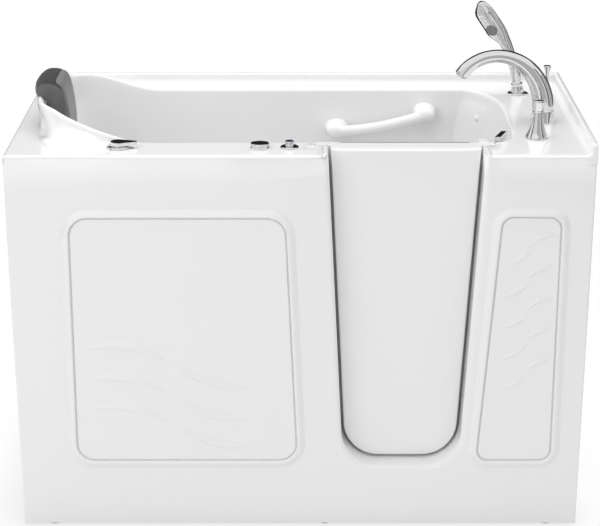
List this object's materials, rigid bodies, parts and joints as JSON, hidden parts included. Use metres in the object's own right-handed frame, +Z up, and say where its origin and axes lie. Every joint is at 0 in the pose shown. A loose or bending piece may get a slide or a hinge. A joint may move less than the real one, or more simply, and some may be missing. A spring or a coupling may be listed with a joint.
{
  "type": "walk-in bathtub with door",
  "caption": "Deep white walk-in bathtub with a seat, an inward-opening front door, grab bar, padded headrest, deck-mounted chrome taps and a water massage set on a steel frame.",
  "frame": {"origin": "middle of the footprint's bounding box, on the floor", "axes": "+X along the tub to the drain and tap end, +Y to the wall behind, +Z up; the door is on the -Y side"},
  "size_m": [1.346, 0.66, 1.1792],
  "materials": {
    "acrylic": "gloss white moulded acrylic",
    "chrome": "polished",
    "frame_steel": "zinc grey",
    "stainless": "satin",
    "plywood": "bare",
    "core": "bare",
    "rubber": "matt",
    "seal": "matt",
    "pillow": "soft self-skinned foam, satin",
    "spray": "matt nozzle plate",
    "pvc": "satin",
    "brass": "cast",
    "motor": "painted dark grey",
    "machine": "satin",
    "button": "gloss"
  },
  "bodies": {
    "tub": {"deck": "acrylic", "headrest_hood": "acrylic", "basin": "acrylic", "front_apron": "acrylic", "door_jamb": "acrylic", "left_end_panel": "acrylic", "end_panel_screws": "stainless", "long_rails": "frame_steel", "cross_rails": "frame_steel", "corner_posts": "frame_steel", "top_rails": "frame_steel", "seat_board": "plywood", "seat_legs": "frame_steel", "machine_board": "plywood", "floor_blocks": "pvc", "foot_pads": "rubber", "foot_studs": "stainless", "foot_nuts": "stainless", "frame_hinge_leaves": "stainless", "hinge_pins": "stainless", "latch_base": "chrome", "grab_bar": "acrylic", "pillow": "pillow", "spout_foot": "chrome", "spout": "chrome", "aerator": "chrome", "valve_rose": "chrome", "valve_bodies": "brass", "shower_holder": "chrome", "diverter_rose": "chrome", "air_rose": "chrome", "button_bezel": "chrome", "jet_faces": "acrylic", "jet_bodies": "pvc", "air_outlet": "acrylic", "drain_flange": "chrome", "waste_shoe": "pvc", "overflow_plate": "chrome", "overflow_pipe": "pvc", "pump_case": "machine", "pump_motor": "motor", "blower_case": "machine", "jet_pipes": "pvc"},
    "door": {"door_outer": "acrylic", "door_core": "core", "door_inner": "acrylic", "door_seal": "seal", "door_hinge_leaves": "stainless", "latch_keeper": "chrome"},
    "latch": {"latch_lever": "chrome"},
    "tap_handle": {"valve_handle": "chrome"},
    "diverter_rod": {"lift_rod": "chrome"},
    "handset": {"hand_shower": "chrome", "spray_face": "spray"},
    "massage_diverter": {"diverter_lever": "chrome"},
    "air_control": {"air_knob": "chrome"},
    "start_button": {"button_cap": "button"},
    "plug": {"drain_stopper": "chrome"},
    "impeller": {"pump_rotor": "machine"},
    "fan": {"blower_fan": "machine"}
  },
  "joints": [
    {"name": "door_swing", "type": "hinge", "parent": "tub", "child": "door", "pos_m": [0.0459, -0.206, 0.55], "axis": [0, 0, 1], "range_deg": [0, 90]},
    {"name": "latch_turn", "type": "hinge", "parent": "tub", "child": "latch", "pos_m": [0.4591, -0.193, 0.931], "axis": [0, 0, 1], "range_deg": [0, 100]},
    {"name": "tap_turn", "type": "hinge", "parent": "tub", "child": "tap_handle", "pos_m": [0.553, -0.178, 0.943], "axis": [0, 0, 1], "range_deg": [0, 180]},
    {"name": "rod_lift", "type": "slide", "parent": "tub", "child": "diverter_rod", "axis": [0, 0, 1], "range_m": [0, 0.015]},
    {"name": "handset_lift", "type": "slide", "parent": "tub", "child": "handset", "axis": [-0.1392, 0, 0.9903], "range_m": [0, 0.12]},
    {"name": "massage_turn", "type": "hinge", "parent": "tub", "child": "massage_diverter", "pos_m": [-0.417, -0.261, 0.946], "axis": [0, 0, 1], "range_deg": [-90, 0]},
    {"name": "air_turn", "type": "hinge", "parent": "tub", "child": "air_control", "pos_m": [-0.092, -0.261, 0.946], "axis": [0, 0, 1], "range_deg": [0, 270]},
    {"name": "button_press", "type": "slide", "parent": "tub", "child": "start_button", "axis": [0, 0, -1], "range_m": [0, 0.004], "stiffness_N_per_m": 800, "springref_m": -0.002},
    {"name": "plug_lift", "type": "slide", "parent": "tub", "child": "plug", "axis": [0, 0, 1], "range_m": [0, 0.012]},
    {"name": "impeller_spin", "type": "hinge", "parent": "tub", "child": "impeller", "pos_m": [-0.15, -0.04, 0.1593], "axis": [1, 0, 0], "continuous": true},
    {"name": "fan_spin", "type": "hinge", "parent": "tub", "child": "fan", "pos_m": [-0.29, 0.104, 0.1], "axis": [0, 0, 1], "continuous": true}
  ]
}
